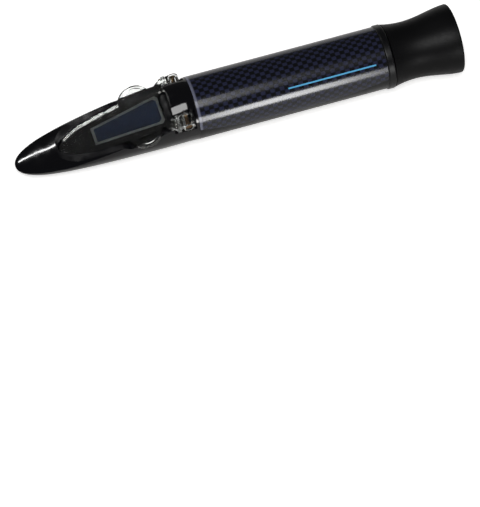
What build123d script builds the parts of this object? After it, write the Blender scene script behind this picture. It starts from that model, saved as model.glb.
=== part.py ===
from build123d import *
import os
from math import cos, pi, radians, sin, tan

os.makedirs("parts", exist_ok=True)

# Overall sizes of the hand refractometer, in millimetres
LENGTH = 207.0
BODY_R = 14.3
RIM_FLARE = 1.7
EYECUP_RIM_R = BODY_R + RIM_FLARE
RUNNING = 0.05
SEAT = 0.05
GAP = 0.3

# Stage: the raked face that carries the prism
RAKE = 15.0
STAGE_FRONT = 21.5
STAGE_FRONT_Z = -6.9
NECK_FRONT = 71.6
NOSE_END = 82.3
TIP_Z = -9.3
CROWN_S = 19.5
CROWN_RISE = 5.3

# Hinge of the daylight plate
HINGE_S = 77.5
HINGE_Z = 7.6
KNUCKLE_R = 2.8
KNUCKLE_INSET = 6.1
KNUCKLE_IN = BODY_R - KNUCKLE_INSET
KNUCKLE_LEN = 5.6
PIN_R = 1.0
PIN_HEAD_R = 1.6
PIN_HEAD_T = 0.8
PIN_INNER_END = 4.0
PIN_RECESS = 1.4

# Daylight plate
PLATE_T = 2.0
FILM_GAP = 0.15
PLATE_TIP_S = 21.2
TAB_FRONT = 51.5
TAB_MID = 59.8
TAB_REAR = 66.3
TAB_REACH = 16.0
BLADE_TAB_W = 9.9
BLADE_WIDTHS = ((23.0, 3.3), (27.0, 5.7), (36.5, 8.2), (45.6, 9.4), (TAB_FRONT, BLADE_TAB_W))
SHOULDER_END = 47.2
SHOULDER_RAMP = 3.8

# Prism and the frame round its face
FRAME_FRONT = 36.7
FRAME_LEN = 33.0
FRAME_FRONT_HALF = 4.5
FRAME_REAR_HALF = 7.5
FRAME_W = 1.2
FRAME_T = 1.2
FRAME_CORNER = 1.4
PRISM_FLOOR = 2.8
PRISM_DEPTH = BODY_R - PRISM_FLOOR
PRISM_HEEL = 8.0
PRISM_TOE = 6.0
PRISM_SLANT = 2.0
PRISM_SIDE = 3.0

# Barrel and grip panel
BARREL_WALL = 2.2
BARREL_BORE = BODY_R - BARREL_WALL
PANEL_T = 0.5
PANEL_PROUD = 0.1
PANEL_END_Z = 3.0
PANEL_MID_Z = -1.7
COLLAR_TO_RIM = 35.5
COLLAR_FRONT = LENGTH - COLLAR_TO_RIM
COLLAR_LEN = 3.3
COLLAR_PROUD = 0.55
COLLAR_R = BODY_R + COLLAR_PROUD
COLLAR_EDGE = 0.6
COLLAR_SPIGOT = 10.0

# Spigot of the nose inside the barrel
SPIGOT_LEN = 10.0
LIGHT_BORE = 6.0
LIGHT_BORE_S = 66.7
SEAL_WIRE_R = 0.6
SEAL_PLAY = 0.02

# Light stop and chassis tube
CHASSIS_WALL = 1.25
CHASSIS_BORE = BARREL_BORE - SEAT - CHASSIS_WALL
STOP_T = 1.0
STOP_APERTURE = 4.0
HOOD_LEN = 4.0
HOOD_WALL = 1.0

# Scale adjuster and the carriage that it lifts
ADJUSTER_S = 104.0
CARRIAGE_TRAVEL = 0.5
SCREW_R = 1.5
KNOB_R = 3.5
KNOB_T = 1.4
KNOB_SLOT = 0.8
BUSH_WALL = 1.15
BUSH_SUNK = 0.8
BUSH_FACE_Z = BUSH_SUNK - BODY_R
BUSH_FLOOR = 1.0
BLOCK_FRONT = 100.8
BLOCK_LEN = 13.2
BLOCK_HALF_W = 4.6
BLOCK_LIFT = 4.3
BLOCK_TOP_Z = BLOCK_LIFT - CHASSIS_BORE
BLOCK_T = 2.4
CLIP_R = 2.6
CLIP_T = 0.4
GUIDE_S = 112.0
GUIDE_Y = 3.3
GUIDE_R = 0.7
STRIP_FRONT = 106.5
STRIP_LEN = 21.5
STRIP_W = 4.8
STRIP_T = 0.5
STRIP_SCREW_R = 0.5
STRIP_SCREW_S = 108.6
STRIP_SCREW_Y = 1.4
CELL_FRONT = 121.0
CELL_LEN = 6.0
CELL_FOOT = 1.0
CELL_WALL = 1.4
OBJECTIVE_R = -BLOCK_TOP_Z - STRIP_T - CELL_FOOT
CELL_R = OBJECTIVE_R + CELL_WALL
OBJECTIVE_T = 3.0
OBJECTIVE_CURVE = 16.0

# Reticle and its cell
RETICLE_TO_RIM = 57.8
RETICLE_S = LENGTH - RETICLE_TO_RIM
RETICLE_R = 8.0
RETICLE_T = 1.5
RETICLE_LEDGE = 1.2
RETICLE_RING_T = 1.3

# Eyepiece
SLEEVE_WALL = 1.4
TUBE_R = BARREL_BORE - SEAT - SLEEVE_WALL - RUNNING
TUBE_WALL = 1.2
TUBE_BORE = TUBE_R - TUBE_WALL
TUBE_INSIDE = 9.0
TUBE_FRONT = COLLAR_FRONT - TUBE_INSIDE
TUBE_TO_RIM = 13.0
TUBE_END = LENGTH - TUBE_TO_RIM
FIELD_LENS_INSET = 5.5
FIELD_LENS_S = TUBE_FRONT + FIELD_LENS_INSET
EYE_LENS_INSET = 8.0
EYE_LENS_S = TUBE_END - EYE_LENS_INSET
LENS_T = 4.0
LENS_CURVE = 32.0
LENS_LIP = 1.2
RING_WALL = 1.25
RING_OVERHANG = 1.0
RING_END = TUBE_END + RING_OVERHANG
LIP_INSET = 1.0
LIP_R = TUBE_R - LIP_INSET
LIP_T = 1.2
RIM_WALL = 1.7
RIM_INNER_R = EYECUP_RIM_R - RIM_WALL
RIM_EDGE = 0.7
FLARE_LEN = 8.1
FLARE_DROP = 0.9
CUP_DEPTH = 4.5
CUP_DROP = 1.3
WAIST_WALL = 1.4
WAIST_FROM_COLLAR = 15.0
WAIST_S = COLLAR_FRONT + WAIST_FROM_COLLAR

AXIS_Z = EYECUP_RIM_R
RAKE_SLOPE = tan(radians(RAKE))
OPTICAL_AXIS = Axis((0, 0, AXIS_Z), (1, 0, 0))
SIDE = Plane(origin=(-LENGTH / 2, 0, AXIS_Z), x_dir=(1, 0, 0), z_dir=(0, -1, 0))


def across(station):
    """Plane square to the optical axis, at a distance from the nose tip."""
    return Plane(origin=(station - LENGTH / 2, 0, AXIS_Z), x_dir=(0, 1, 0), z_dir=(1, 0, 0))


def stage_z(station):
    """Height of the stage over the optical axis."""
    return STAGE_FRONT_Z + (station - STAGE_FRONT) * RAKE_SLOPE


def stage_plane(station, lift=0.0):
    """Plane lying on the stage, its origin at a distance from the nose tip."""
    normal = (-sin(radians(RAKE)), 0, cos(radians(RAKE)))
    along = (cos(radians(RAKE)), 0, sin(radians(RAKE)))
    origin = (
        station - LENGTH / 2 + lift * normal[0],
        0,
        AXIS_Z + stage_z(station) + lift * normal[2],
    )
    return Plane(origin=origin, x_dir=along, z_dir=normal)


def ring(front, end, outer, bore):
    """Plain turned ring about the optical axis."""
    with BuildPart() as turned:
        with BuildSketch(across(front)):
            Circle(outer)
            Circle(bore, mode=Mode.SUBTRACT)
        extrude(amount=end - front)
    return turned


def wire_ring(station, centre_radius, wire_radius):
    """Round-section sealing ring about the optical axis."""
    with BuildPart() as turned:
        with BuildSketch(SIDE):
            with Locations((station, centre_radius)):
                Circle(wire_radius)
        revolve(axis=OPTICAL_AXIS)
    return turned


def sag(radius, curve):
    """Depth of a lens face at a radius."""
    return curve - (curve**2 - radius**2) ** 0.5


def lens(station, radius, thickness, curve):
    """Biconvex lens about the optical axis, its front vertex at the station."""
    edge = sag(radius, curve)
    with BuildPart() as turned:
        with BuildSketch(SIDE):
            with BuildLine():
                Line((station, 0), (station + thickness, 0))
                RadiusArc((station + thickness, 0), (station + thickness - edge, radius), -curve)
                Line((station + thickness - edge, radius), (station + edge, radius))
                RadiusArc((station + edge, radius), (station, 0), -curve)
            make_face()
        revolve(axis=OPTICAL_AXIS)
    return turned


def frame_outline(inset):
    """Tapered outline of the prism's face on the stage, cornered at the rear."""
    taper = (FRAME_REAR_HALF - FRAME_FRONT_HALF) / FRAME_LEN
    front_half = FRAME_FRONT_HALF + taper * inset - inset
    rear_half = FRAME_REAR_HALF - taper * inset - inset
    with BuildSketch(mode=Mode.PRIVATE) as outline:
        with BuildLine():
            Polyline(
                (inset, -front_half),
                (FRAME_LEN - inset, -rear_half),
                (FRAME_LEN - inset, rear_half),
                (inset, front_half),
                close=True,
            )
        make_face()
        chamfer(outline.vertices().group_by(Axis.X)[-1], FRAME_CORNER)
    return outline.sketch


def along(station, half_width):
    """Point on the stage plane, from a distance to the nose tip and a half width."""
    return ((station - STAGE_FRONT) / cos(radians(RAKE)), half_width)


def blade_edge(side, play):
    """Points of the daylight plate's edge from its tip to the tab on one side."""
    edge = [along(station, side * (width + play)) for station, width in BLADE_WIDTHS]
    return [along(PLATE_TIP_S - play, 0.0)] + edge


# Nose housing: lofted bullet with a shallow bed for the plate, neck, spigot and prism pocket
NOSE_STATIONS = 12
NOSE_BLUNTNESS = 0.88
CHIN_LEN = 16.0
CROWN_CURVE = 0.72


def nose_section(share):
    """Station, height of the widest line, half width, depth under it and rise over it."""
    station = NOSE_END * share**2
    centre = TIP_Z * (1 - share**2) ** 2
    half_width = BODY_R * sin(pi / 2 * share**NOSE_BLUNTNESS)
    chin = max(0.0, 1 - station / CHIN_LEN)
    depth = (BODY_R + centre) * (1 - chin**2) ** 0.5
    front = min(1.0, station / CROWN_S)
    rear = max(0.0, (station - CROWN_S) / (NOSE_END - CROWN_S))
    crown = TIP_Z + CROWN_RISE * front**CROWN_CURVE
    crown += (BODY_R - TIP_Z - CROWN_RISE) * sin(pi / 2 * rear)
    return station, centre, half_width, depth, crown - centre


NECK_CHAMFER = 1.5
NOTCH_PLAY = 0.5
NOTCH_LEAD = 0.6
NOTCH_SILL = 1.0
NOTCH_FRONT = NECK_FRONT - NOTCH_LEAD
NOTCH_REAR = NOSE_END - NOTCH_SILL
NOTCH_FLOOR = HINGE_Z - KNUCKLE_R - NOTCH_PLAY
NOTCH_WALL = KNUCKLE_IN - GAP
FRONT_SEAL_S = NOSE_END + SPIGOT_LEN / 2

with BuildPart() as nose_housing:
    outlines = [Vertex(-LENGTH / 2, 0, AXIS_Z + TIP_Z)]
    for step in range(1, NOSE_STATIONS + 1):
        station, centre, half_width, depth, rise = nose_section(step / NOSE_STATIONS)
        with BuildSketch(across(station), mode=Mode.PRIVATE) as outline:
            with BuildLine():
                EllipticalCenterArc((0, centre), half_width, depth, start_angle=180, arc_size=180)
                EllipticalCenterArc((0, centre), half_width, rise, start_angle=0, arc_size=180)
            make_face()
        outlines.append(outline.sketch)
    loft(sections=outlines)
    # Shoulder beside the plate, ramp under the tabs, stage and front of the neck
    with BuildSketch(SIDE):
        with BuildLine():
            Polyline(
                (CROWN_S, TIP_Z + CROWN_RISE),
                (SHOULDER_END, stage_z(SHOULDER_END) + FILM_GAP + PLATE_T),
                (SHOULDER_END + SHOULDER_RAMP, stage_z(SHOULDER_END + SHOULDER_RAMP)),
                (NECK_FRONT, stage_z(NECK_FRONT)),
                (NECK_FRONT, BODY_R - NECK_CHAMFER),
                (NECK_FRONT + NECK_CHAMFER, BODY_R + NECK_CHAMFER),
                (CROWN_S, BODY_R + NECK_CHAMFER),
                close=True,
            )
        make_face()
    extrude(amount=BODY_R, both=True, mode=Mode.SUBTRACT)
    # Bed that the plate's blade drops into
    with BuildSketch(stage_plane(STAGE_FRONT)):
        with BuildLine():
            Spline(*blade_edge(1, GAP), tangents=[(0.0, 1.0), (1.0, 0.12)])
            Line(blade_edge(1, GAP)[-1], blade_edge(-1, GAP)[-1])
            Spline(*reversed(blade_edge(-1, GAP)), tangents=[(-1.0, 0.12), (0.0, 1.0)])
        make_face()
    extrude(amount=BODY_R, mode=Mode.SUBTRACT)
    # Recess round each knuckle, open at the top and the side
    for side in (-1, 1):
        with BuildSketch(SIDE.offset(side * NOTCH_WALL)):
            with Locations((NOTCH_FRONT, NOTCH_FLOOR)):
                Rectangle(NOTCH_REAR - NOTCH_FRONT, BODY_R, align=(Align.MIN, Align.MIN))
        extrude(amount=side * BODY_R, mode=Mode.SUBTRACT)
    # Spigot that enters the barrel, with its seal groove
    with BuildSketch(across(NOSE_END)):
        Circle(BARREL_BORE - SEAT)
    extrude(amount=SPIGOT_LEN)
    with BuildSketch(across(FRONT_SEAL_S - SEAL_WIRE_R - SEAT)):
        Circle(BODY_R)
        Circle(BARREL_BORE - 2 * SEAL_WIRE_R, mode=Mode.SUBTRACT)
    extrude(amount=2 * (SEAL_WIRE_R + SEAT), mode=Mode.SUBTRACT)
    # Light path from the prism to the barrel
    with BuildSketch(across(LIGHT_BORE_S)):
        Circle(LIGHT_BORE)
    extrude(amount=NOSE_END + SPIGOT_LEN - LIGHT_BORE_S, mode=Mode.SUBTRACT)
    # Pocket for the prism and the wider, shallow pocket for its frame
    with BuildSketch(stage_plane(FRAME_FRONT)):
        add(frame_outline(FRAME_W - SEAT))
    extrude(amount=-PRISM_DEPTH, mode=Mode.SUBTRACT)
    with BuildSketch(stage_plane(FRAME_FRONT)):
        add(frame_outline(-SEAT))
    extrude(amount=-FRAME_T, mode=Mode.SUBTRACT)
    # Blind bores for the hinge pins
    for side in (-1, 1):
        with BuildSketch(SIDE.offset(side * PIN_INNER_END)):
            with Locations((HINGE_S, HINGE_Z)):
                Circle(PIN_R + SEAL_PLAY)
        extrude(amount=side * KNUCKLE_IN, mode=Mode.SUBTRACT)

nose_housing.part.label = "nose_housing"
export_step(nose_housing.part, "parts/nose_housing.step")

# Seal ring in the spigot's groove
front_seal = wire_ring(FRONT_SEAL_S, BARREL_BORE - SEAL_WIRE_R, SEAL_WIRE_R - SEAL_PLAY)
front_seal.part.label = "front_seal"
export_step(front_seal.part, "parts/front_seal.step")

# Measuring prism: flush with the stage, its back face square to the optical axis
PRISM_FRONT = FRAME_FRONT + FRAME_W
with BuildPart() as measuring_prism:
    with BuildSketch(stage_plane(FRAME_FRONT)):
        add(frame_outline(FRAME_W))
    extrude(amount=-PRISM_DEPTH + SEAT)
    prism_exit = FRAME_FRONT + (FRAME_LEN - FRAME_W) * cos(radians(RAKE))
    with BuildSketch(SIDE):
        with BuildLine():
            Polyline(
                (PRISM_FRONT - PRISM_HEEL, stage_z(PRISM_FRONT - PRISM_HEEL)),
                (prism_exit, stage_z(prism_exit)),
                (prism_exit, -LIGHT_BORE),
                (PRISM_FRONT + PRISM_TOE, -LIGHT_BORE - PRISM_SLANT),
                (PRISM_FRONT - PRISM_HEEL, stage_z(PRISM_FRONT) - PRISM_SIDE),
                close=True,
            )
        make_face()
    extrude(amount=BODY_R, both=True, mode=Mode.INTERSECT)

measuring_prism.part.label = "measuring_prism"
export_step(measuring_prism.part, "parts/measuring_prism.step")

# Pale frame bonded round the prism's face
with BuildPart() as prism_gasket:
    with BuildSketch(stage_plane(FRAME_FRONT)):
        add(frame_outline(0.0))
        add(frame_outline(FRAME_W - SEAL_PLAY), mode=Mode.SUBTRACT)
    extrude(amount=-FRAME_T)

prism_gasket.part.label = "prism_gasket"
export_step(prism_gasket.part, "parts/prism_gasket.step")


# Daylight plate: clear teardrop blade with finger tabs, fork arms and hinge knuckles
ARM_WAIST_W = 9.5
ARM_S = 72.0
CROTCH_S = 68.6
CROTCH_CORNER_S = 70.0
KNUCKLE_OUT = KNUCKLE_IN + KNUCKLE_LEN
RIB_S = 72.3
RIB_LEN = 1.9
RIB_HEIGHT = 5.0
RIB_LIFT = 0.1
RIB_CORNER = 0.5
ARM_END = 1.0
DISH_FRONT = 3.0
DISH_REAR = 2.2
DISH_INSET = 1.0
TAB_DISH = 0.9
TAB_RIM = 1.3

with BuildPart() as daylight_plate:
    with BuildSketch(stage_plane(STAGE_FRONT, FILM_GAP)):
        with BuildLine():
            Spline(*blade_edge(1, 0.0), tangents=[(0.0, 1.0), (1.0, 0.12)])
            ThreePointArc(
                along(TAB_FRONT, BLADE_TAB_W),
                along(TAB_MID, TAB_REACH),
                along(TAB_REAR, ARM_WAIST_W),
            )
            Polyline(
                along(TAB_REAR, ARM_WAIST_W),
                along(ARM_S, KNUCKLE_OUT),
                along(HINGE_S - ARM_END, KNUCKLE_OUT),
                along(HINGE_S - ARM_END, KNUCKLE_IN),
                along(CROTCH_CORNER_S, KNUCKLE_IN),
            )
            ThreePointArc(
                along(CROTCH_CORNER_S, KNUCKLE_IN),
                along(CROTCH_S, 0.0),
                along(CROTCH_CORNER_S, -KNUCKLE_IN),
            )
            Polyline(
                along(CROTCH_CORNER_S, -KNUCKLE_IN),
                along(HINGE_S - ARM_END, -KNUCKLE_IN),
                along(HINGE_S - ARM_END, -KNUCKLE_OUT),
                along(ARM_S, -KNUCKLE_OUT),
                along(TAB_REAR, -ARM_WAIST_W),
            )
            ThreePointArc(
                along(TAB_REAR, -ARM_WAIST_W),
                along(TAB_MID, -TAB_REACH),
                along(TAB_FRONT, -BLADE_TAB_W),
            )
            Spline(*reversed(blade_edge(-1, 0.0)), tangents=[(-1.0, 0.12), (0.0, 1.0)])
        make_face()
    extrude(amount=PLATE_T)
    # Dished finger tabs
    with BuildSketch(stage_plane(STAGE_FRONT, FILM_GAP + PLATE_T)):
        for side in (-1, 1):
            with BuildLine():
                ThreePointArc(
                    along(TAB_FRONT + DISH_FRONT, side * (BLADE_TAB_W + DISH_INSET)),
                    along(TAB_MID, side * (TAB_REACH - TAB_RIM)),
                    along(TAB_REAR - DISH_REAR, side * (BLADE_TAB_W + DISH_INSET)),
                )
                Line(
                    along(TAB_REAR - DISH_REAR, side * (BLADE_TAB_W + DISH_INSET)),
                    along(TAB_FRONT + DISH_FRONT, side * (BLADE_TAB_W + DISH_INSET)),
                )
            make_face()
    extrude(amount=-TAB_DISH, mode=Mode.SUBTRACT)
    # Knuckles and the ribs in front of them
    for side in (-1, 1):
        with BuildSketch(SIDE.offset(side * KNUCKLE_IN)):
            with Locations((HINGE_S, HINGE_Z)):
                Circle(KNUCKLE_R)
            with Locations((RIB_S + RIB_LEN / 2, HINGE_Z + RIB_LIFT)):
                RectangleRounded(RIB_LEN, RIB_HEIGHT, RIB_CORNER)
        extrude(amount=side * KNUCKLE_LEN)
        with BuildSketch(SIDE.offset(side * (KNUCKLE_IN - 1.0))):
            with Locations((HINGE_S, HINGE_Z)):
                Circle(PIN_R + RUNNING)
        extrude(amount=side * (KNUCKLE_LEN + 2.0), mode=Mode.SUBTRACT)
        with BuildSketch(SIDE.offset(side * KNUCKLE_OUT)):
            with Locations((HINGE_S, HINGE_Z)):
                Circle(PIN_HEAD_R + RUNNING)
        extrude(amount=-side * PIN_RECESS, mode=Mode.SUBTRACT)

daylight_plate.part.label = "daylight_plate"
export_step(daylight_plate.part, "parts/daylight_plate.step")

# Hinge pins: pressed in the neck, their heads sunk in the knuckles
with BuildPart() as hinge_pins:
    for side in (-1, 1):
        with BuildSketch(SIDE.offset(side * PIN_INNER_END)):
            with Locations((HINGE_S, HINGE_Z)):
                Circle(PIN_R)
        extrude(amount=side * (KNUCKLE_OUT - PIN_INNER_END - PIN_RECESS + RUNNING))
        with BuildSketch(SIDE.offset(side * (KNUCKLE_OUT - PIN_RECESS + RUNNING))):
            with Locations((HINGE_S, HINGE_Z)):
                Circle(PIN_HEAD_R)
        extrude(amount=side * PIN_HEAD_T)

hinge_pins.part.label = "hinge_pins"
export_step(hinge_pins.part, "parts/hinge_pins.step")


# Grip panel and the recess that it lies in
def panel_outline(play):
    """Side outline of the grip panel: square ends and a bowed lower edge."""
    front = NOSE_END + GAP - play
    rear = COLLAR_FRONT - GAP + play
    with BuildSketch(mode=Mode.PRIVATE) as outline:
        with BuildLine():
            ThreePointArc(
                (front, PANEL_END_Z - play),
                ((front + rear) / 2, PANEL_MID_Z - play),
                (rear, PANEL_END_Z - play),
            )
            Polyline(
                (rear, PANEL_END_Z - play),
                (rear, BODY_R + GAP + COLLAR_LEN),
                (front, BODY_R + GAP + COLLAR_LEN),
                (front, PANEL_END_Z - play),
            )
        make_face()
    return outline.sketch


PANEL_R = BODY_R + PANEL_PROUD
with BuildPart() as label_panel:
    with BuildSketch(across(NOSE_END)):
        Circle(PANEL_R)
        Circle(PANEL_R - PANEL_T, mode=Mode.SUBTRACT)
    extrude(amount=COLLAR_FRONT - NOSE_END)
    with BuildSketch(SIDE):
        add(panel_outline(0.0))
    extrude(amount=COLLAR_R, both=True, mode=Mode.INTERSECT)

label_panel.part.label = "label_panel"
export_step(label_panel.part, "parts/label_panel.step")

with BuildPart() as panel_recess:
    with BuildSketch(across(NOSE_END)):
        Circle(COLLAR_R + COLLAR_LEN)
        Circle(PANEL_R - PANEL_T - SEAT, mode=Mode.SUBTRACT)
    extrude(amount=COLLAR_FRONT - NOSE_END)
    with BuildSketch(SIDE):
        add(panel_outline(SEAT))
    extrude(amount=COLLAR_R + COLLAR_LEN, both=True, mode=Mode.INTERSECT)

# Barrel: tube with the panel's recess and the adjuster's hole underneath
BUSH_R = KNOB_R + SEAT + BUSH_WALL
UNDER = Plane(
    origin=(ADJUSTER_S - LENGTH / 2, 0, AXIS_Z),
    x_dir=(1, 0, 0),
    z_dir=(0, 0, -1),
)
with BuildPart() as body_barrel:
    with BuildSketch(across(NOSE_END)):
        Circle(BODY_R)
        Circle(BARREL_BORE, mode=Mode.SUBTRACT)
    extrude(amount=COLLAR_FRONT - NOSE_END)
    add(panel_recess.part, mode=Mode.SUBTRACT)
    with BuildSketch(UNDER):
        Circle(BUSH_R + SEAL_PLAY)
    extrude(amount=BODY_R, mode=Mode.SUBTRACT)

body_barrel.part.label = "body_barrel"
export_step(body_barrel.part, "parts/body_barrel.step")

# Rear collar: shoulder ring with a guide sleeve for the eyepiece tube
COLLAR_REAR = COLLAR_FRONT + COLLAR_LEN
CHASSIS_FRONT = NOSE_END + SPIGOT_LEN
CHASSIS_END = COLLAR_FRONT - COLLAR_SPIGOT
COLLAR_SEAL_S = COLLAR_FRONT - COLLAR_SPIGOT / 2
with BuildPart() as rear_collar:
    with BuildSketch(SIDE):
        with BuildLine():
            Polyline(
                (CHASSIS_END, TUBE_R + RUNNING),
                (CHASSIS_END, BARREL_BORE - SEAT),
                (COLLAR_FRONT, BARREL_BORE - SEAT),
                (COLLAR_FRONT, COLLAR_R),
                (COLLAR_REAR, COLLAR_R),
                (COLLAR_REAR, TUBE_R + RUNNING),
                close=True,
            )
        make_face()
    revolve(axis=OPTICAL_AXIS)
    fillet(rear_collar.edges().filter_by(GeomType.CIRCLE).sort_by(SortBy.RADIUS)[-2:], COLLAR_EDGE)
    with BuildSketch(SIDE):
        with Locations((COLLAR_SEAL_S, TUBE_R + SEAL_WIRE_R + RUNNING)):
            Rectangle(2 * (SEAL_WIRE_R + SEAT), 2 * SEAL_WIRE_R)
    revolve(axis=OPTICAL_AXIS, mode=Mode.SUBTRACT)

rear_collar.part.label = "rear_collar"
export_step(rear_collar.part, "parts/rear_collar.step")

collar_seal = wire_ring(COLLAR_SEAL_S, TUBE_R + SEAL_WIRE_R + RUNNING, SEAL_WIRE_R - SEAL_PLAY)
collar_seal.part.label = "collar_seal"
export_step(collar_seal.part, "parts/collar_seal.step")

# Chassis tube with the window for the adjuster and the guide pin holes
CHASSIS_R = BARREL_BORE - SEAT
with BuildPart() as chassis_tube:
    with BuildSketch(across(CHASSIS_FRONT)):
        Circle(CHASSIS_R)
        Circle(CHASSIS_BORE, mode=Mode.SUBTRACT)
    extrude(amount=CHASSIS_END - CHASSIS_FRONT)
    with BuildSketch(UNDER):
        Circle(BUSH_R + SEAL_PLAY)
        with Locations(
            (GUIDE_S - ADJUSTER_S, GUIDE_Y),
            (GUIDE_S - ADJUSTER_S, -GUIDE_Y),
        ):
            Circle(GUIDE_R + SEAL_PLAY)
    extrude(amount=BODY_R, mode=Mode.SUBTRACT)

chassis_tube.part.label = "chassis_tube"
export_step(chassis_tube.part, "parts/chassis_tube.step")

# Light stop: disc with a hood at the front of the chassis
with BuildPart() as light_baffle:
    with BuildSketch(across(CHASSIS_FRONT)):
        Circle(CHASSIS_BORE - SEAT)
    extrude(amount=STOP_T)
    with BuildSketch(across(CHASSIS_FRONT + STOP_T)):
        Circle(STOP_APERTURE + HOOD_WALL)
    extrude(amount=HOOD_LEN)
    with BuildSketch(across(CHASSIS_FRONT)):
        Circle(STOP_APERTURE)
    extrude(amount=STOP_T + HOOD_LEN, mode=Mode.SUBTRACT)

light_baffle.part.label = "light_baffle"
export_step(light_baffle.part, "parts/light_baffle.step")

# Adjuster bush: cup in the barrel's underside
FLOOR_Z = BUSH_FACE_Z + KNOB_T + RUNNING + SEAT
with BuildPart() as adjuster_bush:
    with BuildSketch(UNDER.offset(-FLOOR_Z - BUSH_FLOOR)):
        Circle(BUSH_R)
        Circle(SCREW_R + RUNNING, mode=Mode.SUBTRACT)
    extrude(amount=-BUSH_FACE_Z + FLOOR_Z + BUSH_FLOOR)
    with BuildSketch(UNDER.offset(-FLOOR_Z)):
        Circle(KNOB_R + RUNNING)
    extrude(amount=BODY_R, mode=Mode.SUBTRACT)

adjuster_bush.part.label = "adjuster_bush"
export_step(adjuster_bush.part, "parts/adjuster_bush.step")

# Adjuster screw: slotted head underneath, shank up through the carriage block
SCREW_TOP_Z = BLOCK_TOP_Z + 2 * CARRIAGE_TRAVEL
with BuildPart() as adjuster_screw:
    with BuildSketch(UNDER.offset(-FLOOR_Z + RUNNING)):
        Circle(KNOB_R)
    extrude(amount=KNOB_T)
    with BuildSketch(UNDER.offset(-SCREW_TOP_Z)):
        Circle(SCREW_R)
    extrude(amount=SCREW_TOP_Z - FLOOR_Z + KNOB_T / 2)
    with BuildSketch(UNDER.offset(-FLOOR_Z + RUNNING + KNOB_T)):
        Rectangle(2 * KNOB_R + 1.0, KNOB_SLOT)
    extrude(amount=-KNOB_T / 2, mode=Mode.SUBTRACT)

adjuster_screw.part.label = "adjuster_screw"
export_step(adjuster_screw.part, "parts/adjuster_screw.step")

# Retaining ring on the shank, over the bush's floor
with BuildPart() as adjuster_clip:
    with BuildSketch(UNDER.offset(-FLOOR_Z - BUSH_FLOOR - RUNNING - CLIP_T)):
        Circle(CLIP_R)
        Circle(SCREW_R + SEAL_PLAY, mode=Mode.SUBTRACT)
    extrude(amount=CLIP_T)

adjuster_clip.part.label = "adjuster_clip"
export_step(adjuster_clip.part, "parts/adjuster_clip.step")

# Guide pins for the carriage block
GUIDE_LOW = (CHASSIS_R**2 - GUIDE_Y**2) ** 0.5 - GUIDE_R
with BuildPart() as guide_pins:
    with BuildSketch(UNDER.offset(-BLOCK_TOP_Z - CARRIAGE_TRAVEL)):
        with Locations(
            (GUIDE_S - ADJUSTER_S, GUIDE_Y),
            (GUIDE_S - ADJUSTER_S, -GUIDE_Y),
        ):
            Circle(GUIDE_R)
    extrude(amount=GUIDE_LOW + BLOCK_TOP_Z + CARRIAGE_TRAVEL)

guide_pins.part.label = "guide_pins"
export_step(guide_pins.part, "parts/guide_pins.step")

# Carriage block: threaded on the adjuster, guided by the two pins
with BuildPart() as adjuster_block:
    with BuildSketch(UNDER.offset(-BLOCK_TOP_Z)):
        with Locations((BLOCK_FRONT + BLOCK_LEN / 2 - ADJUSTER_S, 0)):
            Rectangle(BLOCK_LEN, 2 * BLOCK_HALF_W)
        Circle(SCREW_R + RUNNING, mode=Mode.SUBTRACT)
        with Locations(
            (GUIDE_S - ADJUSTER_S, GUIDE_Y),
            (GUIDE_S - ADJUSTER_S, -GUIDE_Y),
        ):
            Circle(GUIDE_R + RUNNING, mode=Mode.SUBTRACT)
        with Locations(
            (STRIP_SCREW_S - ADJUSTER_S, STRIP_SCREW_Y),
            (STRIP_SCREW_S - ADJUSTER_S, -STRIP_SCREW_Y),
        ):
            Circle(STRIP_SCREW_R + SEAL_PLAY, mode=Mode.SUBTRACT)
    extrude(amount=BLOCK_T)

adjuster_block.part.label = "adjuster_block"
export_step(adjuster_block.part, "parts/adjuster_block.step")

# Bimetal strip: bends with temperature and carries the objective's cell
with BuildPart() as bimetal_strip:
    with BuildSketch(UNDER.offset(-BLOCK_TOP_Z - STRIP_T)):
        with Locations((STRIP_FRONT + STRIP_LEN / 2 - ADJUSTER_S, 0)):
            Rectangle(STRIP_LEN, STRIP_W)
        with Locations(
            (STRIP_SCREW_S - ADJUSTER_S, STRIP_SCREW_Y),
            (STRIP_SCREW_S - ADJUSTER_S, -STRIP_SCREW_Y),
        ):
            Circle(STRIP_SCREW_R + SEAL_PLAY, mode=Mode.SUBTRACT)
    extrude(amount=STRIP_T)

bimetal_strip.part.label = "bimetal_strip"
export_step(bimetal_strip.part, "parts/bimetal_strip.step")

# Two screws that hold the strip on the block
with BuildPart() as strip_screws:
    with BuildSketch(UNDER.offset(-BLOCK_TOP_Z - STRIP_T - STRIP_SCREW_R)):
        with Locations(
            (STRIP_SCREW_S - ADJUSTER_S, STRIP_SCREW_Y),
            (STRIP_SCREW_S - ADJUSTER_S, -STRIP_SCREW_Y),
        ):
            Circle(2 * STRIP_SCREW_R)
    extrude(amount=STRIP_SCREW_R)
    with BuildSketch(UNDER.offset(-BLOCK_TOP_Z - STRIP_T)):
        with Locations(
            (STRIP_SCREW_S - ADJUSTER_S, STRIP_SCREW_Y),
            (STRIP_SCREW_S - ADJUSTER_S, -STRIP_SCREW_Y),
        ):
            Circle(STRIP_SCREW_R)
    extrude(amount=STRIP_T + BLOCK_T)

strip_screws.part.label = "strip_screws"
export_step(strip_screws.part, "parts/strip_screws.step")

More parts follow.
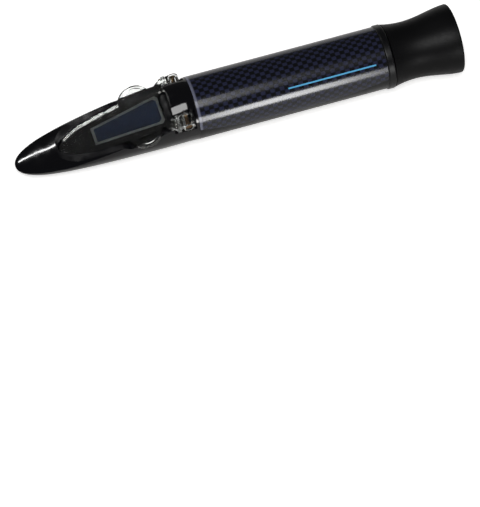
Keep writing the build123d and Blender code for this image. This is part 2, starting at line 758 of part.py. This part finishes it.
# Objective cell: ring with a flat foot on the strip
OBJECTIVE_SEAT = OBJECTIVE_R + SEAT
OBJECTIVE_LIP = 1.0
OBJECTIVE_SAG = sag(OBJECTIVE_R - OBJECTIVE_LIP, OBJECTIVE_CURVE)
with BuildPart() as lens_cell:
    with BuildSketch(across(CELL_FRONT)):
        Circle(CELL_R)
    extrude(amount=CELL_LEN)
    with BuildSketch(across(CELL_FRONT)):
        Circle(OBJECTIVE_R - OBJECTIVE_LIP)
    extrude(amount=CELL_LEN, mode=Mode.SUBTRACT)
    with BuildSketch(across(CELL_FRONT + OBJECTIVE_LIP)):
        Circle(OBJECTIVE_SEAT)
    extrude(amount=CELL_LEN, mode=Mode.SUBTRACT)
    with BuildSketch(UNDER.offset(-BLOCK_TOP_Z - STRIP_T)):
        with Locations((CELL_FRONT + CELL_LEN / 2 - ADJUSTER_S, 0)):
            Rectangle(CELL_LEN + 2.0, 2 * CELL_R)
    extrude(amount=CELL_R, mode=Mode.SUBTRACT)

lens_cell.part.label = "lens_cell"
export_step(lens_cell.part, "parts/lens_cell.step")

OBJECTIVE_S = CELL_FRONT + OBJECTIVE_LIP - OBJECTIVE_SAG + SEAT
objective_lens = lens(OBJECTIVE_S, OBJECTIVE_R, OBJECTIVE_T, OBJECTIVE_CURVE)
objective_lens.part.label = "objective_lens"
export_step(objective_lens.part, "parts/objective_lens.step")

objective_retainer = ring(
    OBJECTIVE_S + OBJECTIVE_T - OBJECTIVE_SAG + SEAT,
    CELL_FRONT + CELL_LEN,
    OBJECTIVE_R,
    OBJECTIVE_R - OBJECTIVE_LIP,
)
objective_retainer.part.label = "objective_retainer"
export_step(objective_retainer.part, "parts/objective_retainer.step")

# Reticle: glass scale disc in its cell, held by a threaded ring
RETICLE_REAR = RETICLE_S + RETICLE_T + RETICLE_RING_T
with BuildPart() as reticle_cell:
    with BuildSketch(across(RETICLE_S - RETICLE_LEDGE)):
        Circle(CHASSIS_BORE - SEAT)
        Circle(RETICLE_R - RETICLE_LEDGE, mode=Mode.SUBTRACT)
    extrude(amount=RETICLE_REAR - RETICLE_S + RETICLE_LEDGE)
    with BuildSketch(across(RETICLE_S)):
        Circle(RETICLE_R + SEAT)
    extrude(amount=RETICLE_REAR - RETICLE_S, mode=Mode.SUBTRACT)

reticle_cell.part.label = "reticle_cell"
export_step(reticle_cell.part, "parts/reticle_cell.step")

with BuildPart() as reticle:
    with BuildSketch(across(RETICLE_S)):
        Circle(RETICLE_R)
    extrude(amount=RETICLE_T)

reticle.part.label = "reticle"
export_step(reticle.part, "parts/reticle.step")

reticle_retainer = ring(
    RETICLE_S + RETICLE_T, RETICLE_REAR, RETICLE_R, RETICLE_R - RETICLE_LEDGE
)
reticle_retainer.part.label = "reticle_retainer"
export_step(reticle_retainer.part, "parts/reticle_retainer.step")

# Eyepiece tube: slides in the collar's sleeve, with a lip in front of the field lens
LENS_R = TUBE_BORE - SEAT
LENS_SAG = sag(LENS_R - LENS_LIP, LENS_CURVE)
LIP_END = FIELD_LENS_S + LENS_SAG - SEAT
with BuildPart() as eyepiece_tube:
    with BuildSketch(across(TUBE_FRONT)):
        Circle(TUBE_R)
        Circle(TUBE_BORE - LENS_LIP, mode=Mode.SUBTRACT)
    extrude(amount=TUBE_END - TUBE_FRONT)
    with BuildSketch(across(LIP_END)):
        Circle(TUBE_BORE)
    extrude(amount=TUBE_END - LIP_END, mode=Mode.SUBTRACT)

eyepiece_tube.part.label = "eyepiece_tube"
export_step(eyepiece_tube.part, "parts/eyepiece_tube.step")

field_lens = lens(FIELD_LENS_S, LENS_R, LENS_T, LENS_CURVE)
field_lens.part.label = "field_lens"
export_step(field_lens.part, "parts/field_lens.step")

lens_spacer = ring(
    FIELD_LENS_S + LENS_T - LENS_SAG + SEAT,
    EYE_LENS_S + LENS_SAG - SEAT,
    LENS_R,
    LENS_R - LENS_LIP,
)
lens_spacer.part.label = "lens_spacer"
export_step(lens_spacer.part, "parts/lens_spacer.step")

eye_lens = lens(EYE_LENS_S, LENS_R, LENS_T, LENS_CURVE)
eye_lens.part.label = "eye_lens"
export_step(eye_lens.part, "parts/eye_lens.step")

eye_retainer = ring(
    EYE_LENS_S + LENS_T - LENS_SAG + SEAT, TUBE_END, LENS_R, LENS_R - LENS_LIP
)
eye_retainer.part.label = "eye_retainer"
export_step(eye_retainer.part, "parts/eye_retainer.step")

# Focus ring: turns on the eyepiece tube and carries the rubber eyecup
RING_FRONT = COLLAR_REAR + GAP
RING_R = TUBE_R + RUNNING + RING_WALL
WAIST_R = RING_R + SEAT + WAIST_WALL
focus_ring = ring(RING_FRONT, RING_END, RING_R, TUBE_R + RUNNING)
focus_ring.part.label = "focus_ring"
export_step(focus_ring.part, "parts/focus_ring.step")

# Rubber eyecup: waisted sleeve over the ring, flared to the rim
with BuildPart() as rubber_eyecup:
    with BuildSketch(SIDE):
        with BuildLine():
            Polyline(
                (RING_FRONT, COLLAR_R - GAP),
                (RING_FRONT, RING_R + SEAT),
                (RING_END + SEAT, RING_R + SEAT),
                (RING_END + SEAT, LIP_R),
                (RING_END + SEAT + LIP_T, LIP_R),
            )
            Spline(
                (RING_END + SEAT + LIP_T, LIP_R),
                (LENGTH - CUP_DEPTH, RIM_INNER_R - CUP_DROP),
                (LENGTH, RIM_INNER_R),
                tangents=[(0.3, 1.0), (1.0, 0.15)],
            )
            Line((LENGTH, RIM_INNER_R), (LENGTH, EYECUP_RIM_R))
            Spline(
                (LENGTH, EYECUP_RIM_R),
                (LENGTH - FLARE_LEN, EYECUP_RIM_R - FLARE_DROP),
                (WAIST_S, WAIST_R),
                (RING_FRONT, COLLAR_R - GAP),
                tangents=[(-1.0, 0.0), (-1.0, 0.25)],
            )
        make_face()
    revolve(axis=OPTICAL_AXIS)
    fillet(rubber_eyecup.edges().filter_by(GeomType.CIRCLE).sort_by(SortBy.RADIUS)[-1], RIM_EDGE)

rubber_eyecup.part.label = "rubber_eyecup"
export_step(rubber_eyecup.part, "parts/rubber_eyecup.step")
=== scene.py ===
import math

import bpy
from mathutils import Matrix, Vector


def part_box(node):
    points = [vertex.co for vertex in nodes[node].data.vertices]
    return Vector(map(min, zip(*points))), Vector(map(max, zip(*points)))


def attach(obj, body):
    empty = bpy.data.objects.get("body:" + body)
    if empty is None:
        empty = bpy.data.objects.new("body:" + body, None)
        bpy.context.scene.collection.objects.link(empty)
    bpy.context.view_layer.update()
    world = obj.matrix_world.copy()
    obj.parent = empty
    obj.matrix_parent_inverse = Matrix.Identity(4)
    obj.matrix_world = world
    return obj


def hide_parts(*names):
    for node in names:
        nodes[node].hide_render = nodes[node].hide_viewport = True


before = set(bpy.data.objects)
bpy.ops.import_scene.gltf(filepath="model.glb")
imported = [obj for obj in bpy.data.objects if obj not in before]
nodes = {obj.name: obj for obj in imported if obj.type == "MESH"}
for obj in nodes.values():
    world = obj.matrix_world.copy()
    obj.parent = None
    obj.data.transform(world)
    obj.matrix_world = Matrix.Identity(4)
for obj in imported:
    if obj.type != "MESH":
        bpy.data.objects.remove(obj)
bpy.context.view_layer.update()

# Nose housing
# Black ABS, injection moulded in a polished tool, so its skin is a deep gloss with the
# faint orange peel of a thick moulding. It carries the raked stage and the hinge's neck.
MM = 0.001
CREASE = math.radians(30)


def linear(hex_colour):
    """sRGB hex colour as the linear values that a shader takes."""
    channels = [int(hex_colour[i : i + 2], 16) / 255 for i in (1, 3, 5)]
    lit = tuple(c / 12.92 if c <= 0.04045 else ((c + 0.055) / 1.055) ** 2.4 for c in channels)
    return lit + (1.0,)


def add_node(material, kind, settings=None, links=None):
    """One shader node with its settings, and its inputs linked from other nodes' outputs."""
    tree = material.node_tree
    node = tree.nodes.new(kind)
    for name, value in (settings or {}).items():
        if isinstance(name, str) and hasattr(node, name):
            setattr(node, name, value)
        else:
            node.inputs[name].default_value = value
    for name, source in (links or {}).items():
        tree.links.new(source, node.inputs[name])
    return node


def new_material(name, base, roughness, **sockets):
    """Material with a Principled shader, and that shader; sockets are set by name."""
    material = bpy.data.materials.new(name)
    material.use_nodes = True
    shader = material.node_tree.nodes["Principled BSDF"]
    shader.inputs["Base Color"].default_value = linear(base)
    shader.inputs["Roughness"].default_value = roughness
    for socket, value in sockets.items():
        shader.inputs[socket.replace("_", " ")].default_value = value
    return material, shader


def grain(material, shader, size_mm, depth_mm, detail=3.0):
    """Uneven skin, its scale worked out from the real size of its grain."""
    place = add_node(material, "ShaderNodeTexCoord")
    noise = add_node(
        material,
        "ShaderNodeTexNoise",
        {"Scale": 1.0 / (size_mm * MM), "Detail": detail, "Roughness": 0.55},
        {"Vector": place.outputs["Object"]},
    )
    bump = add_node(
        material,
        "ShaderNodeBump",
        {"Strength": 1.0, "Distance": depth_mm * MM},
        {"Height": noise.outputs["Fac"]},
    )
    material.node_tree.links.new(bump.outputs["Normal"], shader.inputs["Normal"])
    return noise


def rough_range(material, shader, noise, low, high):
    """Roughness that wanders with the grain, between two values."""
    spread = add_node(
        material,
        "ShaderNodeMapRange",
        {"From Min": 0.3, "From Max": 0.7, "To Min": low, "To Max": high},
        {"Value": noise.outputs["Fac"]},
    )
    material.node_tree.links.new(spread.outputs["Result"], shader.inputs["Roughness"])


def dress(node_name, material):
    """Gives a carried-over piece its finish, and smooth shading between its creases."""
    piece = nodes[node_name]
    piece.data.materials.clear()
    piece.data.materials.append(material)
    bpy.ops.object.select_all(action="DESELECT")
    piece.select_set(True)
    bpy.context.view_layer.objects.active = piece
    bpy.ops.object.shade_smooth_by_angle(angle=CREASE)
    piece.select_set(False)


# Polished ABS: the eye sees near black with crisp reflections, a little wavy.
gloss_abs, gloss_shader = new_material(
    "abs_gloss_black", "#07070a", 0.08, Specular_IOR_Level=0.35
)
peel = grain(gloss_abs, gloss_shader, 5.0, 0.008, detail=1.0)
rough_range(gloss_abs, gloss_shader, peel, 0.05, 0.1)
dress("nose_housing", gloss_abs)

# Front seal
# O-ring of nitrile rubber, moulded, rolled into the groove of the nose's spigot. It keeps
# water out where the barrel is pushed over the spigot.
# Nitrile rubber: the eye sees a soft, even black with no clear reflection.
nitrile, nitrile_shader = new_material("rubber_nitrile", "#101010", 0.5)
grain(nitrile, nitrile_shader, 0.4, 0.01)
dress("front_seal", nitrile)

# Measuring prism
# Optical glass, ground and polished, sunk in the raked stage with its long face up. The
# sample lies on that face, and light enters through it from the plate.
# Polished glass over the black housing: the eye sees a dark, even blue.
prism_glass, prism_shader = new_material(
    "optical_glass_prism", "#1b2c4a", 0.05, IOR=1.6, Transmission_Weight=0.25
)
grain(prism_glass, prism_shader, 9.0, 0.004, detail=1.0)
dress("measuring_prism", prism_glass)

# Prism frame
# Pale bonding compound, run in round the prism and levelled off with its face. It holds
# the prism in the stage and seals it.
# Cured compound: the eye sees a dull, faintly grainy grey-green.
bond, bond_shader = new_material("bonding_compound_pale", "#5d615f", 0.5)
grain(bond, bond_shader, 0.5, 0.02)
dress("prism_gasket", bond)

# Daylight plate
# Clear acrylic, moulded in one piece: blade, two dished finger tabs, fork arms and hinge
# knuckles. The visible plate is a copy of the CAD plate with its edges softened, as a
# mould leaves them.
EDGE_MM = 0.3
MERGE_MM = 0.002
EDGE_TURN = math.radians(50)
PLATE_CREASE = math.radians(40)
# Polished acrylic: the eye sees through it, and its edges gather light as bright lines.
acrylic, acrylic_shader = new_material(
    "acrylic_clear", "#f4f6f4", 0.03, IOR=1.49, Transmission_Weight=1.0
)
grain(acrylic, acrylic_shader, 8.0, 0.003, detail=1.0)
softened = nodes["daylight_plate"].copy()
softened.data = nodes["daylight_plate"].data.copy()
softened.data.materials.clear()
softened.data.materials.append(acrylic)
softened.name = "daylight_plate_softened"
bpy.context.scene.collection.objects.link(softened)
dress("daylight_plate", acrylic)
softened.select_set(True)
bpy.context.view_layer.objects.active = softened
bpy.ops.object.mode_set(mode="EDIT")
bpy.ops.mesh.select_all(action="SELECT")
bpy.ops.mesh.remove_doubles(threshold=MERGE_MM * MM)
bpy.ops.object.mode_set(mode="OBJECT")
edge_round = softened.modifiers.new("edge_round", "BEVEL")
edge_round.width = EDGE_MM * MM
edge_round.segments = 2
edge_round.limit_method = "ANGLE"
edge_round.angle_limit = EDGE_TURN
bpy.ops.object.modifier_apply(modifier="edge_round")
bpy.ops.object.shade_smooth_by_angle(angle=PLATE_CREASE)
flat_faces = softened.modifiers.new("flat_faces", "WEIGHTED_NORMAL")
flat_faces.mode = "FACE_AREA"
flat_faces.weight = 100
flat_faces.keep_sharp = True
bpy.ops.object.modifier_apply(modifier="flat_faces")
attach(softened, "plate")
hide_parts("daylight_plate")

# Hinge pins
# Brass, turned with a flat head and pressed into the neck from both sides. The heads sit
# sunk in the plate's knuckles, which turn on the pins.
# Tarnished brass: the eye sees a dull brown with a blurred shine.
pin_brass, pin_shader = new_material("brass_dulled", "#6a5238", 0.42, Metallic=1.0)
grain(pin_brass, pin_shader, 0.4, 0.01)
dress("hinge_pins", pin_brass)

# Barrel and rear collar
# Black ABS, injection moulded in a tool with a fine etch. The barrel is pushed over the
# nose's spigot, and the collar closes its rear and guides the eyepiece.
# Etched ABS: the eye sees a soft satin black. The etch is drawn coarse enough to show.
satin_abs, satin_shader = new_material(
    "abs_satin_black", "#08080a", 0.3, Specular_IOR_Level=0.25
)
etch = grain(satin_abs, satin_shader, 0.35, 0.012)
rough_range(satin_abs, satin_shader, etch, 0.26, 0.36)
dress("body_barrel", satin_abs)
dress("rear_collar", satin_abs)

# Grip panel
# Printed film under a thick clear gloss, wrapped round the barrel in a shallow recess and
# glued there. Its print is a twill weave with a thin plain blue line along the near side.
# A pale painted highlight is laid along its front edge.
WEAVE_ALONG_MM = 4.4
WEAVE_ROUND_MM = 1.75
GAP_END, CELL_START = -0.25, 0.35
# Width of the painted highlight along the panel's front edge.
EDGE_HIGHLIGHT_MM = 1.6
LINE_FROM, LINE_TO = 0.0215, 0.0628
LINE_TURN, LINE_HALF_TURN = math.radians(-42.0), math.radians(1.4)
barrel_low, barrel_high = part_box("body_barrel")
AXIS_HEIGHT = (barrel_low.z + barrel_high.z) / 2
BARREL_R = (barrel_high.y - barrel_low.y) / 2
PANEL_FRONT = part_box("label_panel")[0].x
# Printed weave: the eye sees blue-black cells on near black, under a mirror-like gloss.
weave, weave_shader = new_material("weave_film_gloss", "#1d1e2b", 0.16)
place = add_node(weave, "ShaderNodeTexCoord")
split = add_node(weave, "ShaderNodeSeparateXYZ", None, {"Vector": place.outputs["Object"]})
height = add_node(
    weave,
    "ShaderNodeMath",
    {"operation": "SUBTRACT", 1: AXIS_HEIGHT},
    {0: split.outputs["Z"]},
)
turn = add_node(
    weave,
    "ShaderNodeMath",
    {"operation": "ARCTAN2"},
    {0: split.outputs["Y"], 1: height.outputs[0]},
)
rows = add_node(
    weave,
    "ShaderNodeMath",
    {"operation": "MULTIPLY", 1: BARREL_R / (WEAVE_ROUND_MM * MM)},
    {0: turn.outputs[0]},
)
columns = add_node(
    weave,
    "ShaderNodeMath",
    {"operation": "MULTIPLY", 1: 1.0 / (WEAVE_ALONG_MM * MM)},
    {0: split.outputs["X"]},
)
row_wave = add_node(
    weave, "ShaderNodeMath", {"operation": "MULTIPLY", 1: math.pi}, {0: rows.outputs[0]}
)
column_wave = add_node(
    weave, "ShaderNodeMath", {"operation": "MULTIPLY", 1: 2 * math.pi}, {0: columns.outputs[0]}
)
row_sine = add_node(weave, "ShaderNodeMath", {"operation": "SINE"}, {0: row_wave.outputs[0]})
column_sine = add_node(
    weave, "ShaderNodeMath", {"operation": "SINE"}, {0: column_wave.outputs[0]}
)
crossing = add_node(
    weave,
    "ShaderNodeMath",
    {"operation": "MULTIPLY"},
    {0: row_sine.outputs[0], 1: column_sine.outputs[0]},
)
cells = add_node(
    weave,
    "ShaderNodeMapRange",
    {"interpolation_type": "SMOOTHSTEP", "From Min": GAP_END, "From Max": CELL_START},
    {"Value": crossing.outputs[0]},
)
woven = add_node(
    weave,
    "ShaderNodeMix",
    {"data_type": "RGBA", 6: linear("#05060a"), 7: linear("#1f2237")},
    {0: cells.outputs["Result"]},
)
# Painted highlight: the print is paled towards the front edge, where light catches the edge.
painted_edge_highlight = add_node(
    weave,
    "ShaderNodeMapRange",
    {
        "interpolation_type": "SMOOTHSTEP",
        "From Min": PANEL_FRONT + 0.4 * EDGE_HIGHLIGHT_MM * MM,
        "From Max": PANEL_FRONT + EDGE_HIGHLIGHT_MM * MM,
        "To Min": 0.55,
        "To Max": 0.0,
    },
    {"Value": split.outputs["X"]},
)
with_painted_highlight = add_node(
    weave,
    "ShaderNodeMix",
    {"data_type": "RGBA", 7: linear("#7f8296")},
    {0: painted_edge_highlight.outputs["Result"], 6: woven.outputs[2]},
)
line_start = add_node(
    weave,
    "ShaderNodeMath",
    {"operation": "GREATER_THAN", 1: LINE_FROM},
    {0: split.outputs["X"]},
)
line_end = add_node(
    weave, "ShaderNodeMath", {"operation": "LESS_THAN", 1: LINE_TO}, {0: split.outputs["X"]}
)
line_band = add_node(
    weave,
    "ShaderNodeMath",
    {"operation": "COMPARE", 1: LINE_TURN, 2: LINE_HALF_TURN},
    {0: turn.outputs[0]},
)
line_span = add_node(
    weave,
    "ShaderNodeMath",
    {"operation": "MULTIPLY"},
    {0: line_start.outputs[0], 1: line_end.outputs[0]},
)
line = add_node(
    weave,
    "ShaderNodeMath",
    {"operation": "MULTIPLY"},
    {0: line_span.outputs[0], 1: line_band.outputs[0]},
)
printed = add_node(
    weave,
    "ShaderNodeMix",
    {"data_type": "RGBA", 7: linear("#5aa9d6")},
    {0: line.outputs[0], 6: with_painted_highlight.outputs[2]},
)
weave.node_tree.links.new(printed.outputs[2], weave_shader.inputs["Base Color"])
dress("label_panel", weave)

# Inner tube and light baffle
# Matt black ABS, moulded and slid into the barrel. The tube carries the optics on the
# axis, and the baffle's disc and hood stop stray light from the prism.
# Unpolished ABS: the eye sees a flat, deep black.
matt_abs, matt_shader = new_material("abs_matt_black", "#0d0d0d", 0.6)
grain(matt_abs, matt_shader, 0.4, 0.01)
dress("chassis_tube", matt_abs)
dress("light_baffle", matt_abs)

# Scale adjuster
# Brass bush, screw and block, turned and milled. The bush is pressed into the barrel's
# underside, the screw turns in it behind a steel clip, and the block rides up and down on
# two steel guide pins.
# Fresh turned brass: the eye sees a warm yellow metal with a sharp shine.
turned_brass, turned_shader = new_material("brass_turned", "#b08d4c", 0.28, Metallic=1.0)
grain(turned_brass, turned_shader, 0.3, 0.005)
# Drawn stainless steel: the eye sees a warm grey metal with a sharp shine.
steel, steel_shader = new_material("steel_stainless", "#a8a39a", 0.3, Metallic=1.0)
grain(steel, steel_shader, 0.3, 0.005)
for name in ("adjuster_bush", "adjuster_screw", "adjuster_block"):
    dress(name, turned_brass)
for name in ("adjuster_clip", "guide_pins"):
    dress(name, steel)

# Temperature strip
# Rolled bimetal strip, held on the block by two steel screws. Its free end carries the
# objective and lifts or lowers it as the strip warms.
for name in ("bimetal_strip", "strip_screws"):
    dress(name, steel)

# Objective
# Ground and coated glass lens in a turned aluminium cell, held by a threaded retainer and
# anodised black against stray light. It throws the shadow line on the reticle.
# Black anodised aluminium: the eye sees charcoal with a soft metal shine.
anodised, anodised_shader = new_material(
    "aluminium_anodised_black", "#1a1a1a", 0.4, Metallic=0.8
)
grain(anodised, anodised_shader, 0.3, 0.005)
# Polished lens glass: the eye sees through it, with small clean reflections.
lens_glass, lens_shader = new_material(
    "optical_glass_lens", "#eef4f4", 0.01, IOR=1.52, Transmission_Weight=1.0
)
grain(lens_glass, lens_shader, 12.0, 0.001, detail=1.0)
dress("lens_cell", anodised)
dress("objective_retainer", anodised)
dress("objective_lens", lens_glass)

# Reticle
# Glass disc in an anodised cell, with the scale photo-etched on its rear face: a black
# surround round a clear window, and ticks and plain numbers from 0 to 33. In the window,
# painted shade in blue lies above the shadow line and painted light in white below it.
LAYER = 0.01 * MM
LAYER_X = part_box("reticle")[1].x + 2 * LAYER
SURROUND_R = 6.7 * MM
WINDOW_HALF = 2.2 * MM
WINDOW_END = 5.2 * MM
CAP_RISE = 0.5 * MM
UPRIGHT = (0, math.radians(90), 0)
ZERO_MM, STEP_MM, OPENING_MM = -4.42, 0.236, 0.0019
SHADOW_AT, SCALE_END, NUMBER_STEP = 15, 33, 5
TICK_LONG, TICK_SHORT, TICK_TALL = 1.0 * MM, 0.5 * MM, 0.05 * MM
DIGIT_W, DIGIT_H, STROKE = 0.26 * MM, 0.5 * MM, 0.055 * MM
DIGIT_GAP = 0.14 * MM
NUMBER_ACROSS = 1.25 * MM
# The bars of each digit: top, middle and low, then a and b above, c and d below
BARS = {"0": "tlabcd", "1": "bd", "2": "tmlbc", "3": "tmlbd", "5": "tmlad"}


def scale_height(percent):
    """Height of one mark on the scale, which opens out towards the top."""
    return AXIS_HEIGHT + (ZERO_MM + STEP_MM * percent + OPENING_MM * percent**2) * MM


def start_print(name, material):
    """Empty layer for print or painted light and shade, open for bars and discs to be added
    to.
    """
    bpy.ops.mesh.primitive_plane_add(size=MM)
    layer = bpy.context.object
    layer.name = name
    layer.data.materials.append(material)
    bpy.ops.object.mode_set(mode="EDIT")
    bpy.ops.mesh.select_all(action="SELECT")
    bpy.ops.mesh.delete(type="VERT")
    return layer


def add_bar(depth, across, height, width, tall):
    """Flat bar that faces the eye."""
    centre = (LAYER_X + depth * LAYER, across, height)
    bpy.ops.mesh.primitive_plane_add(size=MM, location=centre, rotation=UPRIGHT)
    bpy.ops.transform.resize(value=(1.0, width / MM, tall / MM), center_override=centre)


def end_print(layer):
    """Closes the layer and fixes it to the reticle."""
    bpy.ops.object.mode_set(mode="OBJECT")
    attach(layer, "root")


dress("reticle_cell", anodised)
dress("reticle_retainer", anodised)
dress("reticle", lens_glass)
# Etched black: the eye sees a flat black that hides the rest of the tube.
print_black, black_shader = new_material("reticle_print_black", "#050505", 0.6)
grain(print_black, black_shader, 0.2, 0.002)
# Window: painted shade in plain blue over painted light in plain white. Both glow a little,
# as painted light from the prism.
painted_shade_blue, shade_blue_shader = new_material(
    "reticle_painted_shade_blue",
    "#2f5fc4",
    0.5,
    Emission_Color=linear("#2f5fc4"),
    Emission_Strength=0.3,
)
grain(painted_shade_blue, shade_blue_shader, 0.2, 0.002)
painted_light_white, light_white_shader = new_material(
    "reticle_painted_light_white",
    "#eef0f0",
    0.5,
    Emission_Color=linear("#eef0f0"),
    Emission_Strength=0.3,
)
grain(painted_light_white, light_white_shader, 0.2, 0.002)

surround = start_print("reticle_surround", print_black)
bpy.ops.mesh.primitive_circle_add(
    vertices=96,
    radius=SURROUND_R,
    fill_type="NGON",
    location=(LAYER_X, 0, AXIS_HEIGHT),
    rotation=UPRIGHT,
)
end_print(surround)

top, bottom = AXIS_HEIGHT + WINDOW_END, AXIS_HEIGHT - WINDOW_END
shadow_line = scale_height(SHADOW_AT)
# Painted shade in blue above the shadow line, painted light in white below it.
for name, material, low, high, cap in (
    ("reticle_painted_shade", painted_shade_blue, shadow_line, top, top),
    ("reticle_painted_light", painted_light_white, bottom, shadow_line, bottom),
):
    field = start_print(name, material)
    add_bar(1, 0, (low + high) / 2, 2 * WINDOW_HALF, high - low)
    centre = (LAYER_X + 0.9 * LAYER, 0, cap)
    bpy.ops.mesh.primitive_circle_add(
        vertices=48, radius=WINDOW_HALF, fill_type="NGON", location=centre, rotation=UPRIGHT
    )
    bpy.ops.transform.resize(value=(1.0, 1.0, CAP_RISE / WINDOW_HALF), center_override=centre)
    end_print(field)

ticks = start_print("reticle_ticks", print_black)
for percent in range(SCALE_END + 1):
    length = TICK_SHORT if percent % NUMBER_STEP else TICK_LONG
    add_bar(2, 0, scale_height(percent), length, TICK_TALL)
end_print(ticks)

numbers = start_print("reticle_numbers", print_black)
for percent in range(0, SCALE_END + 1, NUMBER_STEP):
    text = str(percent)
    side = -1 if percent % (2 * NUMBER_STEP) else 1
    middle_z = scale_height(percent)
    for order, digit in enumerate(text):
        shift = (order - (len(text) - 1) / 2) * (DIGIT_W + DIGIT_GAP)
        across = side * NUMBER_ACROSS + shift
        for bar in BARS[digit]:
            if bar in "tml":
                rise = {"t": 1, "m": 0, "l": -1}[bar] * DIGIT_H / 2
                add_bar(2, across, middle_z + rise, DIGIT_W + STROKE, STROKE)
            else:
                reach = (-1 if bar in "ac" else 1) * DIGIT_W / 2
                rise = (1 if bar in "ab" else -1) * DIGIT_H / 4
                add_bar(2, across + reach, middle_z + rise, STROKE, DIGIT_H / 2)
end_print(numbers)

# Collar seal
# O-ring of nitrile rubber, rolled into the rear collar's groove. It seals the eyepiece
# tube as that slides, and its drag holds the focus.
dress("collar_seal", nitrile)

# Eyepiece
# Turned aluminium tube, anodised black, that slides in the collar for focus. It holds a
# field lens and an eye lens of ground glass, a spacer between them and a retainer.
for name in ("eyepiece_tube", "lens_spacer", "eye_retainer"):
    dress(name, anodised)
for name in ("field_lens", "eye_lens"):
    dress(name, lens_glass)

# Eyecup and focus ring
# Soft black rubber, moulded in one piece, drawn in at the waist and flared to the rim. It
# is stretched over a ring of matt black ABS that turns with it to slide the eyepiece.
dress("focus_ring", matt_abs)
# Moulded rubber: the eye sees a matt black whose light fades softly over the flare.
soft_rubber, rubber_shader = new_material(
    "rubber_soft_matt", "#0a0a0b", 0.4, Specular_IOR_Level=0.1
)
skin = grain(soft_rubber, rubber_shader, 0.6, 0.02)
rough_range(soft_rubber, rubber_shader, skin, 0.36, 0.46)
dress("rubber_eyecup", soft_rubber)

# Floor
# Plain pale studio floor, painted matt, that the instrument lies on. It glows to the
# camera and through clear pieces alone, so it reads white and still keeps the shadow.
FLOOR_SIZE = 6.0
FLOOR_GLOW = 0.6
bpy.ops.mesh.primitive_plane_add(size=FLOOR_SIZE, location=(0, 0, 0))
floor = bpy.context.object
floor.name = "floor"
floor_paint, floor_shader = new_material(
    "floor_pale", "#f6f5f3", 0.7, Emission_Color=linear("#ffffff")
)
ray = add_node(floor_paint, "ShaderNodeLightPath")
seen = add_node(
    floor_paint,
    "ShaderNodeMath",
    {"operation": "MAXIMUM"},
    {0: ray.outputs["Is Camera Ray"], 1: ray.outputs["Is Transmission Ray"]},
)
glow = add_node(
    floor_paint,
    "ShaderNodeMath",
    {"operation": "MULTIPLY", 1: FLOOR_GLOW},
    {0: seen.outputs[0]},
)
floor_paint.node_tree.links.new(glow.outputs[0], floor_shader.inputs["Emission Strength"])
floor.data.materials.append(floor_paint)

# Light and camera
# One large softbox lights the whole, a narrow strip draws the bright line on the nose's
# crown, and an upright one draws the band along the barrel's near side. The camera looks
# down on the near side, as in the photograph.
ROOM_LIGHT = 0.08
AZIMUTH = math.radians(-17.4)
ELEVATION = math.radians(58.0)
DISTANCE = 1.6
SENSOR_WIDTH = 36.0
MM_PER_PIXEL = 0.4502
PHOTO_WIDTH, PHOTO_HEIGHT = 480, 507
CENTRE_PIXEL = (236.3, 96.3)


def area_light(name, size, power, place, target, along=(1, 0, 0)):
    """Soft area lamp, aimed at a point, its first side turned along a direction."""
    lamp = bpy.data.lights.new(name, "AREA")
    lamp.shape = "RECTANGLE"
    lamp.size, lamp.size_y = size
    lamp.energy = power
    light = bpy.data.objects.new(name, lamp)
    bpy.context.scene.collection.objects.link(light)
    back = (Vector(place) - Vector(target)).normalized()
    side = (Vector(along) - Vector(along).dot(back) * back).normalized()
    light.location = place
    light.rotation_euler = Matrix((side, back.cross(side), back)).transposed().to_euler()


area_light(
    "left_softbox",
    size=(0.5, 0.5),
    power=9.5,
    place=(-0.115, -0.47, 1.1),
    target=(0, 0, 0),
)
area_light(
    "crown_strip",
    size=(0.42, 0.03),
    power=2.2,
    place=(-0.53, 0.69, 0.915),
    target=(-0.093, 0, 0.01),
    along=(0.87, 0, 0.5),
)
area_light(
    "horizon_strip",
    size=(0.11, 0.35),
    power=2.6,
    place=(0.202, -1.1, 0.18),
    target=(0.023, 0, 0.02),
)

world = bpy.data.worlds.new("studio")
bpy.context.scene.world = world
world.use_nodes = True
world.node_tree.nodes["Background"].inputs["Color"].default_value = linear("#ffffff")
world.node_tree.nodes["Background"].inputs["Strength"].default_value = ROOM_LIGHT

middle = Vector((0, 0, AXIS_HEIGHT))
towards = Vector(
    (
        math.sin(AZIMUTH) * math.cos(ELEVATION),
        -math.cos(AZIMUTH) * math.cos(ELEVATION),
        math.sin(ELEVATION),
    )
)
right = Vector((math.cos(AZIMUTH), math.sin(AZIMUTH), 0))
up = towards.cross(right)
pixel = MM_PER_PIXEL * MM
aim = middle - right * (CENTRE_PIXEL[0] - PHOTO_WIDTH / 2) * pixel
aim -= up * (PHOTO_HEIGHT / 2 - CENTRE_PIXEL[1]) * pixel
eye = middle + towards * DISTANCE
camera_data = bpy.data.cameras.new("camera")
camera = bpy.data.objects.new("camera", camera_data)
bpy.context.scene.collection.objects.link(camera)
camera.location = eye
camera.rotation_euler = (aim - eye).to_track_quat("-Z", "Y").to_euler()
camera_data.sensor_fit = "HORIZONTAL"
camera_data.sensor_width = SENSOR_WIDTH
camera_data.lens = SENSOR_WIDTH * (aim - eye).length / (PHOTO_WIDTH * pixel)
bpy.context.scene.camera = camera
bpy.context.scene.view_settings.view_transform = "Standard"
